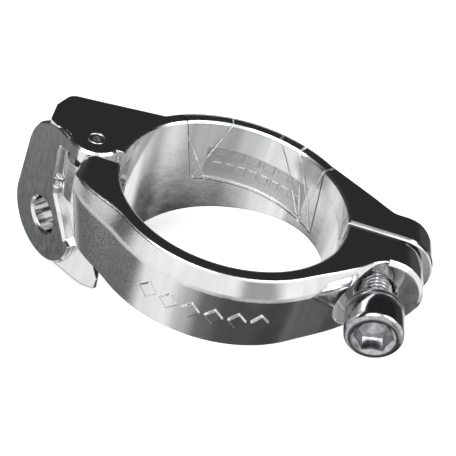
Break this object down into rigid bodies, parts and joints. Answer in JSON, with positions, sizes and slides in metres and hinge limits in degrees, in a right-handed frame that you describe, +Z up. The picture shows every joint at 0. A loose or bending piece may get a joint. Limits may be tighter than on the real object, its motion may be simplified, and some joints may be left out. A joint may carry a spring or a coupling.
{
  "type": "front derailleur clamp band adapter",
  "caption": "Hinged two-piece aluminium clamp band for a 34.9 mm seat tube, with a front derailleur mounting plate and a socket-head clamp bolt backed out of its lug.",
  "frame": {"origin": "axis of the seat tube bore at mid-height of the band", "axes": "+Z up the seat tube, -X towards the hinge and the mounting plate, -Y towards the bolt's head"},
  "size_m": [0.0675, 0.0406, 0.0261],
  "materials": {
    "polished_alloy": "polished forged aluminium with fine brushing",
    "pin_steel": "bright riveted steel",
    "bolt_steel": "dark plated steel",
    "washer_steel": "plain plated steel",
    "clear_film": "thin clear plastic film"
  },
  "bodies": {
    "rear": {"rear_half": "polished_alloy", "hinge_pin": "pin_steel", "film": "clear_film"},
    "front": {"front_half": "polished_alloy"},
    "washer_body": {"washer": "washer_steel"},
    "bolt": {"clamp_bolt": "bolt_steel"}
  },
  "joints": [
    {"name": "band_hinge", "type": "hinge", "parent": "rear", "child": "front", "pos_m": [-0.0222, 0.0018, 0], "axis": [0, 0, -1], "range_deg": [0, 55]},
    {"name": "washer_slide", "type": "slide", "parent": "front", "child": "washer_body", "axis": [0, 1, 0], "range_m": [0, 0.004]},
    {"name": "bolt_turn", "type": "hinge", "parent": "washer_body", "child": "bolt", "pos_m": [0.024, -0.0107, 0.001], "axis": [0, 1, 0], "range_deg": [0, 1800]}
  ],
  "couplings": [
    {"joint": "bolt_turn", "follows": "washer_slide", "rad_per_m": 7854}
  ]
}
